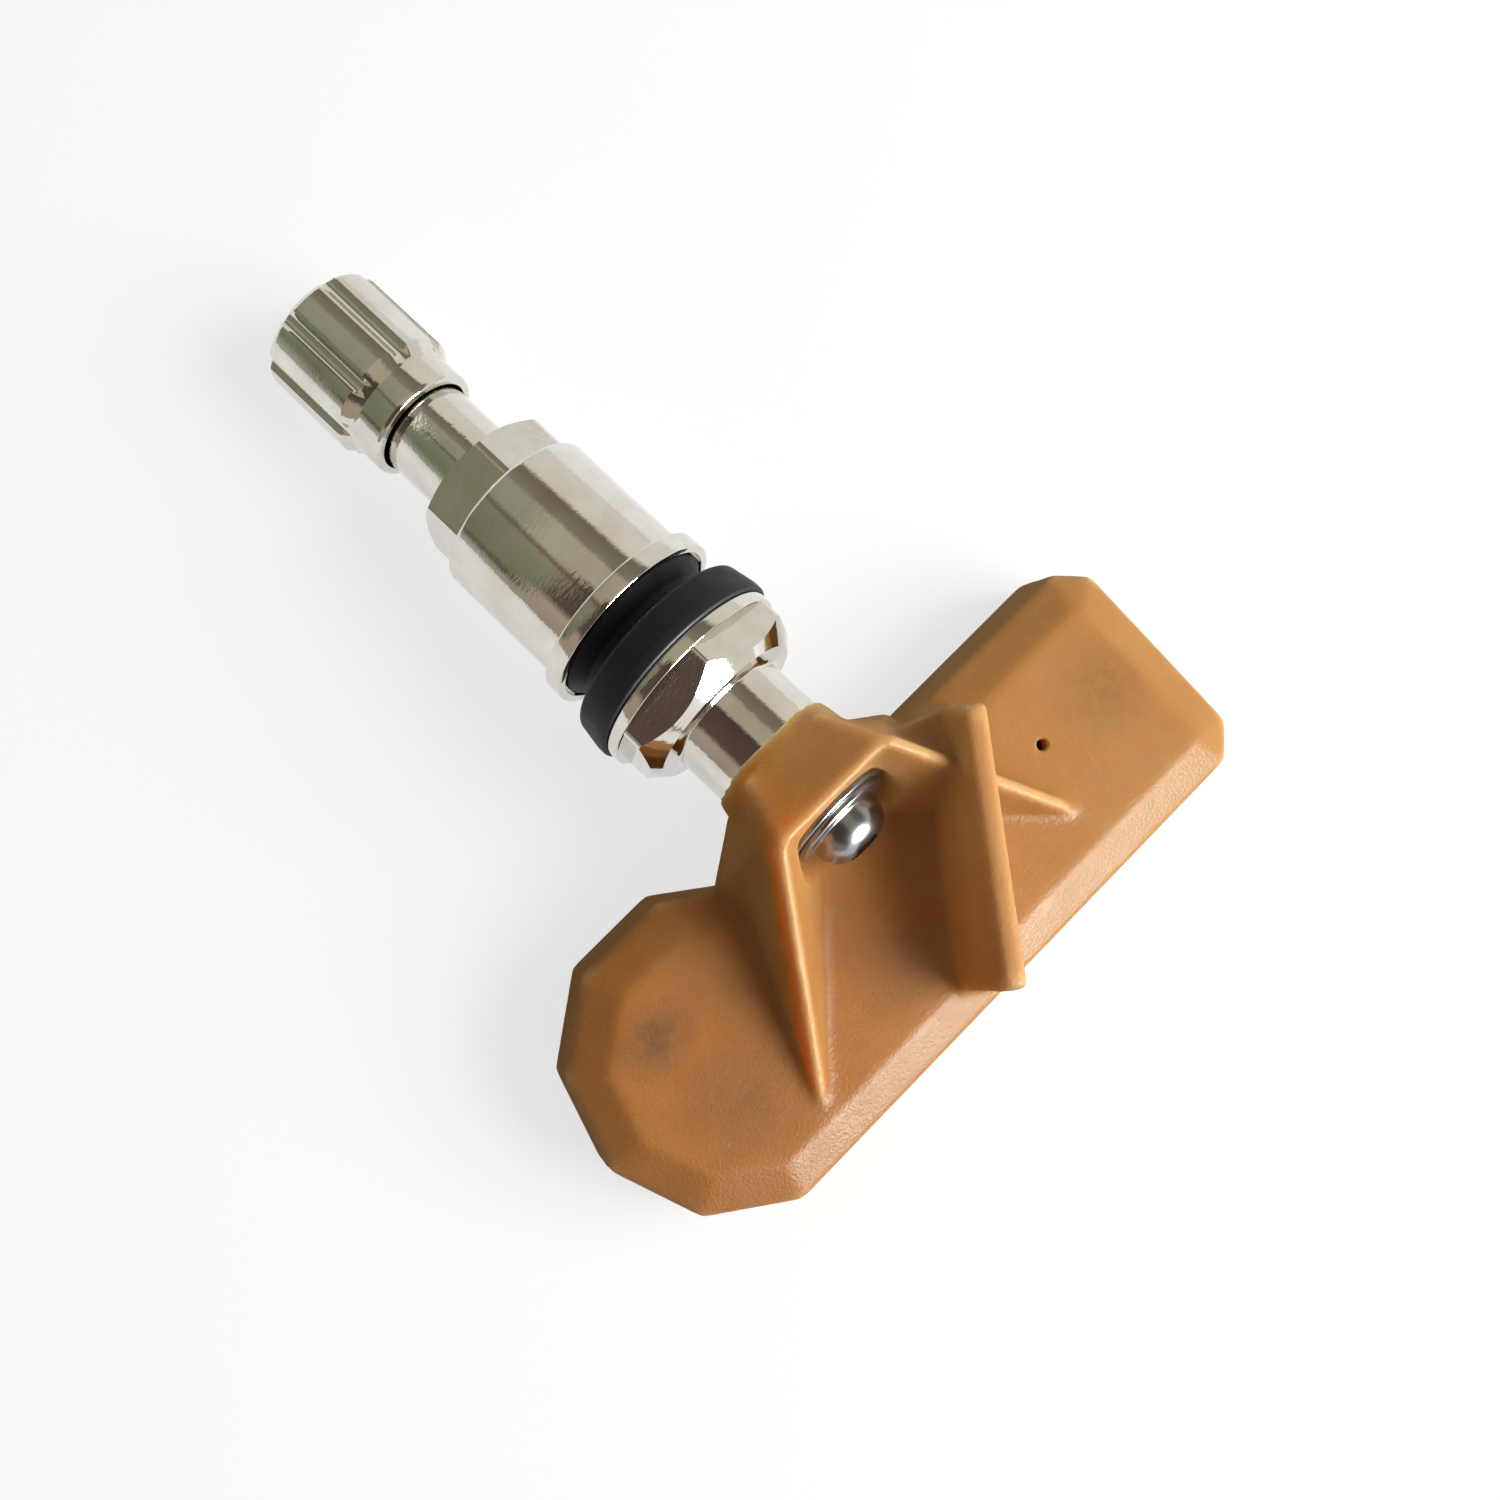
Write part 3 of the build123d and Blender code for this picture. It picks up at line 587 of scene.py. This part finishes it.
around_part = vector_in(turned_marks, "MULTIPLY", spoke_way, around_scale.outputs["Vector"])
along_part = vector_in(turned_marks, "MULTIPLY", marks_in.outputs["Vector"], along_scale.outputs["Vector"])
wound = vector_in(turned_marks, "ADD", around_part, along_part)
chatter = noise_in(turned_marks, wound, scale=1.0, detail=2.0, roughness=0.55)
turned_marks.links.new(chatter, marks_out.inputs["Height"])
slow_tone = noise_in(turned_marks, marks_in.outputs["Vector"], scale=0.35, detail=3.0, roughness=0.6)
turned_marks.links.new(range_in(turned_marks, slow_tone, *noise_span), marks_out.inputs["Tone"])


def glossed(tree, shader, share, gloss):
    """Roughness that drifts between two values"""
    tree.links.new(range_in(tree, share, 0.0, 1.0, *gloss), shader.inputs["Roughness"])


nickel_tones = ((0.66, 0.62, 0.55), (0.74, 0.73, 0.69))        # warm and cool
nickel_gloss = (0.07, 0.045)
plated, tree, shader, valve_mm = finish("polished_nickel", valve_frame)
plate_marks = group_in(tree, turned_marks, Vector=valve_mm, Around=12.0, Along=3.6)
toned(tree, shader, plate_marks["Tone"], nickel_tones)
glossed(tree, shader, plate_marks["Tone"], nickel_gloss)
shader.inputs["Metallic"].default_value = 1.0
bump_in(tree, shader, plate_marks["Height"], depth=0.01)
stem.data.materials.append(plated)
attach(stem, "sensor")
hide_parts("valve_stem")

# Grommet: one ring of matt black rubber on the stem. The thick lip seals inside the rim, the neck fills
# the rim hole and the bulge is squeezed into the thrust ring when the nut is drawn up.
lip_radius = 8.32
lip_thick = 0.8
flange_radius = 7.95
flange_face = 3.05
neck_radius = 5.65
neck_end = 4.3
bulge_radius = 6.7
bulge_start = 5.4
bulge_end = 6.1
tail_radius = 5.5
tail_end = 9.0
grommet = turned("grommet_rubber", rounded([
    (seat_radius, 0, 0), (lip_radius, 0, 0.2), (lip_radius, lip_thick, 0.3),
    (flange_radius, flange_face, 0.5), (neck_radius, flange_face, 0.4), (neck_radius, neck_end, 0.5),
    (bulge_radius, bulge_start, 0.25), (bulge_radius, bulge_end, 0.15), (tail_radius, bulge_end, 0),
    (tail_radius, tail_end, 0.3), (seat_radius, tail_end, 0), (seat_radius, 0, 0)]))
softened(grommet, valve_frame)
rubber_tones = ((0.006, 0.006, 0.007), (0.011, 0.011, 0.013))
rubber_gloss = (0.62, 0.5)
rubber, tree, shader, rubber_mm = finish("black_rubber", valve_frame)
rubber_marks = group_in(tree, moulded_skin, Vector=rubber_mm, Grain=7.0, Cloud=0.5)
toned(tree, shader, rubber_marks["Tone"], rubber_tones)
glossed(tree, shader, rubber_marks["Tone"], rubber_gloss)
shader.inputs["Specular IOR Level"].default_value = 0.25
bump_in(tree, shader, rubber_marks["Height"], depth=0.012)
grommet.data.materials.append(rubber)
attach(grommet, "sensor")
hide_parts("grommet")
dress(rubber, "port_seal", "cap_seal", "core_seal", "pin_cup")

# Thrust ring: turned with a step and plated. It lies loose between the rubber's bulge and the end of the
# nut, and presses the rubber into the rim hole.
ring_front = 5.33
ring_step = 6.2
ring_back = 6.94
ring_radius = 7.6
ring_mouth = 6.95
ring_bore = 5.9
ring_edge = 0.1                            # rounding of the mouth, where the outline starts and ends
ring = turned("thrust_ring_plated", rounded([
    (ring_mouth, ring_front, ring_edge), (ring_radius, ring_front, 0.2), (ring_radius, ring_back, 0.22),
    (ring_bore, ring_back, 0), (ring_bore, ring_step, 0), (ring_mouth, ring_step, 0),
    (ring_mouth, (ring_front + ring_step) / 2, 0)]) + [(ring_mouth, ring_front + ring_edge)])
softened(ring, valve_frame)
ring.data.materials.append(plated)
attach(ring, "thrust_ring")
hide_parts("thrust_ring")

# Union nut: turned from hexagon bar and plated. The plain sleeve covers the rubber's tail, and the short
# hexagon at its end is threaded on the stem.
sleeve_radius = 6.82
sleeve_bore = 6.0
sleeve_floor = 12.4
sleeve_end = 18.2
nut_flats = 11.0
nut_end = 22.15
nut_turn = radians(36.6)
nut_face = nut_flats / 2 - 0.45            # where the turned bevel at the nut's end starts, and its rise
nut_bevel = 0.565
run_fit = 0.06                             # running gap of the plain threads
nut_bore = thread_radius + run_fit
nut_hex = hexagon(nut_flats, corner_off=0.15)
nut_rows = (
    rounded([(sleeve_bore, ring_back, 0), (sleeve_radius, ring_back, 0.15), (sleeve_radius, sleeve_end, 0.4),
             (nut_face, sleeve_end, 0)])[:-1]
    + [(nut_hex, sleeve_end), (nut_hex, nut_end - (nut_hex - nut_face) * nut_bevel)]
    + rounded([(nut_face, nut_end, 0), (nut_bore, nut_end, 0.15),
               (nut_bore, sleeve_floor + (sleeve_bore - nut_bore) / 2, 0), (sleeve_bore, sleeve_floor, 0),
               (sleeve_bore, ring_back, 0)]))
nut = turned("union_nut_plated", nut_rows, nut_turn)
softened(nut, valve_frame)
nut.data.materials.append(plated)
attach(nut, "nut")
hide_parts("union_nut")

# Valve core: brass plug screwed into the stem, with a sprung brass pin that opens it when pressed. Both
# are turned and left bare.
brass_tones = ((0.46, 0.29, 0.09), (0.58, 0.39, 0.15))
brass_gloss = (0.3, 0.2)
brass, tree, shader, brass_mm = finish("turned_brass", valve_frame)
brass_marks = group_in(tree, turned_marks, Vector=brass_mm, Around=3.0, Along=9.0)
toned(tree, shader, brass_marks["Tone"], brass_tones)
glossed(tree, shader, brass_marks["Tone"], brass_gloss)
shader.inputs["Metallic"].default_value = 1.0
bump_in(tree, shader, brass_marks["Height"], depth=0.004)
dress(brass, "core_plug", "core_pin")

# Core spring: fine steel wire wound round the pin, from the plug's lip to the cup at the pin's end. It
# shortens as the pin goes in.
core_spring = shown("core_spring_wire", frame["nodes"]["core_spring"].data.copy())
softened(core_spring)
core_spring.data.materials.clear()
core_spring.data.materials.append(sheet_steel)
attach(core_spring, "sensor")
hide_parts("core_spring")
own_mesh(core_spring)

# Valve cap: turned and plated, with a plain collar and eight lobes that the fingers grip. It is closed at
# the tip and screws on the stem's thread.
cap_tip = 40.15
cap_rim = cap_tip - 11.87
cap_collar = 4.71
cap_collar_end = cap_rim + 2.72
cap_shoulder = cap_collar_end + 0.9
cap_radius = 5.43
cap_floor = 39.0
cap_bore = thread_radius + run_fit
rim_mouth = 0.15
cap_lobes = 8
groove_radius = 0.73
groove_depth = 0.55
groove_soft = 0.12                         # rounding of the grooves' edges
groove_flare = 3                           # rise of the cut beside a groove, well clear of the lobes
groove_middle = cap_radius - groove_depth + groove_radius
from_groove = round_ways % (2 * pi / cap_lobes) - pi / cap_lobes
across = cap_radius * np.abs(from_groove)
groove_sag = np.sqrt(np.maximum(groove_radius**2 - across**2, 0))
groove = np.where(across < groove_radius, groove_middle - groove_sag,
                  groove_middle + groove_flare * (across - groove_radius))
cap_rows = rounded([
    (0, cap_floor, 0), (cap_bore, cap_floor, 0), (cap_bore, cap_rim + 2 * rim_mouth, 0),
    (cap_bore + rim_mouth, cap_rim, 0.1), (cap_collar, cap_rim, 0.4), (cap_collar, cap_collar_end, 0.5),
    (cap_radius, cap_shoulder, 0.35), (cap_radius, cap_tip, 0.6), (0, cap_tip, 0)], steps=8)


def grooved(radius):
    """The cap's reach in every direction: its round where that is smaller, else the groove, softly joined"""
    return (radius + groove - np.hypot(radius - groove, groove_soft)) / 2 if radius > cap_collar else radius


cap = turned("valve_cap_plated", [(grooved(radius), station) for radius, station in cap_rows])
softened(cap, valve_frame)
cap.data.materials.append(plated)
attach(cap, "cap")
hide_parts("valve_cap")

# Screw washer: stamped from stainless sheet, loose on the screw. It lies in the tower's recess under the
# screw's flange.
washer_seat = -14.8
washer_back = washer_seat - 0.65
washer_radius = 4.6
washer_bore = 2.2
washer = turned("screw_washer_steel", rounded([
    (washer_bore, washer_seat, 0), (washer_radius, washer_seat, 0.12), (washer_radius, washer_back, 0.2),
    (washer_bore, washer_back, 0), (washer_bore, washer_seat, 0)]))
softened(washer, valve_frame)
steel_tones = ((0.27, 0.26, 0.27), (0.36, 0.345, 0.36))
steel_gloss = (0.25, 0.18)
screw_steel, tree, shader, screw_mm = finish("stainless_screw", valve_frame)
steel_marks = group_in(tree, turned_marks, Vector=screw_mm, Around=4.0, Along=6.0)
toned(tree, shader, steel_marks["Tone"], steel_tones)
glossed(tree, shader, steel_marks["Tone"], steel_gloss)
shader.inputs["Metallic"].default_value = 1.0
bump_in(tree, shader, steel_marks["Height"], depth=0.006)
washer.data.materials.append(screw_steel)
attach(washer, "washer")
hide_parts("screw_washer")

# Fixing screw: cold-headed from stainless wire, with a flange and a six-lobed socket. It is driven through
# the tower into the valve's foot.
screw_radius = 2.0
screw_end = -7.6
flange_back = washer_back - 0.5
screw_flange = 4.05
screw_head = 2.95
head_back = flange_back - 2.4
head_round = 1.9
star_lobes = 6
star_radius = 1.15
star_lobe = 0.36
star_depth = 1.3
lobe_sides = 48
core_sides = 72


def ring_cutter(name):
    """Geometry Nodes tree that cuts a ring of rods and the core rod inside it out of a piece"""
    tree = bpy.data.node_groups.new(name, "GeometryNodeTree")
    tree.interface.new_socket("Piece", in_out="INPUT", socket_type="NodeSocketGeometry")
    for socket, kind in (("Rods", "NodeSocketInt"), ("Ring Radius", "NodeSocketFloat"),
                         ("Rod Radius", "NodeSocketFloat"), ("Core Radius", "NodeSocketFloat"),
                         ("Low", "NodeSocketFloat"), ("High", "NodeSocketFloat"),
                         ("Finish", "NodeSocketMaterial")):
        tree.interface.new_socket(socket, in_out="INPUT", socket_type=kind)
    tree.interface.new_socket("Piece", in_out="OUTPUT", socket_type="NodeSocketGeometry")
    sizes = tree.nodes.new("NodeGroupInput").outputs

    def step(kind, **inputs):
        node = tree.nodes.new(kind)
        for socket, value in inputs.items():
            feed(tree, value, node.inputs[socket.replace("_", " ")])
        return node

    length = math_in(tree, "SUBTRACT", sizes["High"], sizes["Low"])
    middle = math_in(tree, "MULTIPLY", math_in(tree, "ADD", sizes["High"], sizes["Low"]), 0.5)
    spots = step("GeometryNodeMeshCircle", Vertices=sizes["Rods"], Radius=sizes["Ring Radius"])
    each = step("GeometryNodeMeshCylinder", Vertices=lobe_sides, Radius=sizes["Rod Radius"], Depth=length)
    placed = step("GeometryNodeInstanceOnPoints", Points=spots.outputs["Mesh"], Instance=each.outputs["Mesh"])
    core = step("GeometryNodeMeshCylinder", Vertices=core_sides, Radius=sizes["Core Radius"], Depth=length)
    both = step("GeometryNodeJoinGeometry", Geometry=placed.outputs["Instances"])
    tree.links.new(core.outputs["Mesh"], both.inputs["Geometry"])
    lift = step("ShaderNodeCombineXYZ", Z=middle)
    moved = step("GeometryNodeTransform", Geometry=both.outputs["Geometry"], Translation=lift.outputs["Vector"])
    real = step("GeometryNodeRealizeInstances", Geometry=moved.outputs["Geometry"])
    knife = tree.nodes.new("GeometryNodeMeshBoolean")
    knife.operation = "DIFFERENCE"
    knife.solver = "EXACT"
    knife.inputs["Self Intersection"].default_value = True
    tree.links.new(sizes["Piece"], knife.inputs["Mesh 1"])
    tree.links.new(real.outputs["Geometry"], knife.inputs["Mesh 2"])
    whole = step("GeometryNodeRealizeInstances", Geometry=knife.outputs["Mesh"])
    coated = step("GeometryNodeSetMaterial", Geometry=whole.outputs["Geometry"], Material=sizes["Finish"])
    step("NodeGroupOutput", Piece=coated.outputs["Geometry"])
    return tree


def ring_cut(piece, tree, **sizes):
    """Runs a ring cutter on a piece; its inputs are given by name (an underscore stands for a space)"""
    step = piece.modifiers.new("ring_cut", "NODES")
    step.node_group = tree
    names = {item.name: item.identifier for item in tree.interface.items_tree if item.in_out == "INPUT"}
    for name, value in sizes.items():
        step[names[name.replace("_", " ")]] = value
    return applied(piece)


screw = turned("fixing_screw_steel", rounded([
    (0, screw_end, 0), (screw_radius, screw_end, 0.4), (screw_radius, washer_back, 0),
    (screw_flange, washer_back, 0.1), (screw_flange, flange_back, 0.25), (screw_head, flange_back, 0.2),
    (screw_head, head_back, head_round), (0, head_back, 0)]))
ring_cut(screw, ring_cutter("star_socket"), Rods=star_lobes, Ring_Radius=star_radius, Rod_Radius=star_lobe,
         Core_Radius=star_radius, Low=head_back - cut_past, High=head_back + star_depth, Finish=screw_steel)
softened(screw, valve_frame)
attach(screw, "screw")
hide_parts("fixing_screw")

# Floor: plain white table. Its own light makes up what the lamps leave short of white, so that the
# soft shadow stays.
floor_reach = 3.0                          # metres
floor_drop = 0.05                          # just under the part, so that the two don't share a face
floor_shade = 0.32
floor_light = 0.72


def seen_directly(tree):
    """1 for the camera and for what polished metal and glass show, else 0"""
    rays = tree.nodes.new("ShaderNodeLightPath").outputs
    by_metal = math_in(tree, "ADD", rays["Is Camera Ray"], rays["Is Glossy Ray"])
    return math_in(tree, "ADD", by_metal, rays["Is Transmission Ray"])


floor_mesh = bpy.data.meshes.new("floor")
floor_mesh.from_pydata([(-floor_reach, -floor_reach, 0), (floor_reach, -floor_reach, 0),
                        (floor_reach, floor_reach, 0), (-floor_reach, floor_reach, 0)], [], [(0, 1, 2, 3)])
floor = shown("floor", floor_mesh)
floor.location.z = -floor_drop * mm
table = bpy.data.materials.new("white_table")
table.use_nodes = True
tree = table.node_tree
tree.nodes.clear()
matt = tree.nodes.new("ShaderNodeBsdfDiffuse")
matt.inputs["Color"].default_value = (floor_shade, floor_shade, floor_shade, 1.0)
own_light = tree.nodes.new("ShaderNodeEmission")
tree.links.new(math_in(tree, "MULTIPLY", seen_directly(tree), floor_light), own_light.inputs["Strength"])
total = tree.nodes.new("ShaderNodeAddShader")
tree.links.new(matt.outputs["BSDF"], total.inputs[0])
tree.links.new(own_light.outputs["Emission"], total.inputs[1])
tree.links.new(total.outputs["Shader"], tree.nodes.new("ShaderNodeOutputMaterial").inputs["Surface"])
floor_mesh.materials.append(table)

# Painted reflection arch: panels round the valve that glow with their own light and that only polished metal
# shows.
# They paint reflections into it, from the bright side on the right over a beige ceiling to an olive wall on the
# left.
arch_radius = 0.5                          # metres
arch_half = 0.9
arch_sides = 96
foot_panels = (0.2, 0.23)                  # along the arch: where the panels for the foot end, and the sleeve's
sleeve_panels = (0.32, 0.36)
arch_angles = np.linspace(0, pi, arch_sides + 1)
arch_points = [(arch_radius * cos(angle), end, arch_radius * sin(angle))
               for end in (-arch_half, arch_half) for angle in arch_angles]
arch_faces = [(k, k + 1, k + arch_sides + 2, k + arch_sides + 1) for k in range(arch_sides)]
arch_mesh = bpy.data.meshes.new("painted_reflection_arch")
arch_mesh.from_pydata(arch_points, [], arch_faces)
arch = shown("painted_reflection_arch", arch_mesh)
arch.visible_camera = False
arch.visible_diffuse = False
arch.visible_shadow = False
panels = bpy.data.materials.new("painted_reflection_panels")
panels.use_nodes = True
tree = panels.node_tree
tree.nodes.clear()
arch_way = tree.nodes.new("ShaderNodeSeparateXYZ")
tree.links.new(tree.nodes.new("ShaderNodeTexCoord").outputs["Object"], arch_way.inputs["Vector"])
arch_angle = math_in(tree, "ARCTAN2", arch_way.outputs["Z"], arch_way.outputs["X"])
right_panels = (                           # angle in degrees and colour there
    (0, (0.82, 0.80, 0.76)), (40, (0.80, 0.75, 0.64)), (46, (0.20, 0.17, 0.13)), (68, (0.26, 0.23, 0.19)),
    (73, (0.48, 0.44, 0.33)))
end_panels = right_panels[:-1] + (
    (74, (0.37, 0.37, 0.29)), (106, (0.33, 0.34, 0.25)), (112, (0.15, 0.14, 0.10)), (117, (0.25, 0.26, 0.18)),
    (160, (0.19, 0.22, 0.14)), (176, (0.42, 0.41, 0.34)))
far_panels = right_panels + (
    (106, (0.46, 0.43, 0.31)), (112, (0.20, 0.13, 0.08)), (117, (0.29, 0.275, 0.19)),
    (160, (0.21, 0.225, 0.14)), (167, (0.11, 0.11, 0.08)), (176, (0.42, 0.41, 0.34)))
near_panels = right_panels + (
    (98, (0.50, 0.46, 0.35)), (103, (0.09, 0.06, 0.05)), (146, (0.12, 0.08, 0.07)), (155, (0.45, 0.36, 0.29)),
    (176, (0.40, 0.34, 0.28)))


def painted(stops):
    """Colours of the panels by their angle round the arch, from the right-hand side of the floor"""
    ramp = tree.nodes.new("ShaderNodeValToRGB")
    while len(ramp.color_ramp.elements) < len(stops):
        ramp.color_ramp.elements.new(1.0)
    for stop, (angle, colour) in zip(ramp.color_ramp.elements, stops):
        stop.position = angle / 180
        stop.color = (*colour, 1.0)
    tree.links.new(math_in(tree, "DIVIDE", arch_angle, pi), ramp.inputs["Fac"])
    return ramp.outputs["Color"]


# The panels' own light: painted reflections, with other colours for the foot, the sleeve and the cap
lit = tree.nodes.new("ShaderNodeEmission")
past_foot = range_in(tree, arch_way.outputs["Y"], *foot_panels)
past_sleeve = range_in(tree, arch_way.outputs["Y"], *sleeve_panels)
inner_panels = colour_in(tree, past_foot, painted(near_panels), painted(far_panels))
tree.links.new(colour_in(tree, past_sleeve, inner_panels, painted(end_panels)), lit.inputs["Color"])
tree.links.new(lit.outputs["Emission"], tree.nodes.new("ShaderNodeOutputMaterial").inputs["Surface"])
arch_mesh.materials.append(panels)

# Light: a soft lamp on the right that leaves no glare, one low behind the body that gives only the sheen on
# the back bevels, and a dim white room round them.
room_light = 0.2
lamps = (                                  # direction, distance, width, watts, tint, gives light, gives glare
    ("side_lamp", (0.47, -0.60, 0.65), 0.42, 0.34, 2.0, (1.0, 0.97, 0.92), True, False),
    ("back_lamp", (0.14, -0.90, 0.40), 0.6, 0.3, 28.0, (0.86, 0.97, 0.93), False, True))
for lamp_name, lamp_from, lamp_away, lamp_size, lamp_power, lamp_tint, gives_light, gives_glare in lamps:
    lamp = bpy.data.objects.new(lamp_name, bpy.data.lights.new(lamp_name, "AREA"))
    lamp.data.shape = "DISK"
    lamp.data.size = lamp_size
    lamp.data.energy = lamp_power
    lamp.data.color = lamp_tint
    lamp.visible_diffuse = gives_light
    lamp.visible_glossy = gives_glare
    lamp.location = Vector(lamp_from).normalized() * lamp_away
    lamp.rotation_euler = (-lamp.location).to_track_quat("-Z", "Y").to_euler()
    bpy.context.scene.collection.objects.link(lamp)
room = bpy.data.worlds.new("white_room")
bpy.context.scene.world = room
room.use_nodes = True
tree = room.node_tree
air = tree.nodes["Background"]
tree.links.new(range_in(tree, seen_directly(tree), 0.0, 1.0, room_light, 1.0), air.inputs["Strength"])
air.inputs["Color"].default_value = (1.0, 1.0, 1.0, 1.0)

# Camera: where the photograph was taken from, almost straight above. Its place, turn and lens were solved
# from the outline and the round parts in the photograph.
camera_at = Vector((-19.899, -13.586, 131.604))
camera_turn = (5.7216, -4.5972, -44.9539)  # degrees
camera_lens = 39.68
camera_shift = (0.0205, 0.0364)
camera = bpy.data.objects.new("camera", bpy.data.cameras.new("camera"))
camera.location = camera_at * mm
camera.rotation_euler = [radians(angle) for angle in camera_turn]
camera.data.sensor_width = 36.0
camera.data.lens = camera_lens
camera.data.shift_x, camera.data.shift_y = camera_shift
camera.data.clip_start = mm
bpy.context.scene.collection.objects.link(camera)
bpy.context.scene.camera = camera
bpy.context.scene.view_settings.view_transform = "Standard"
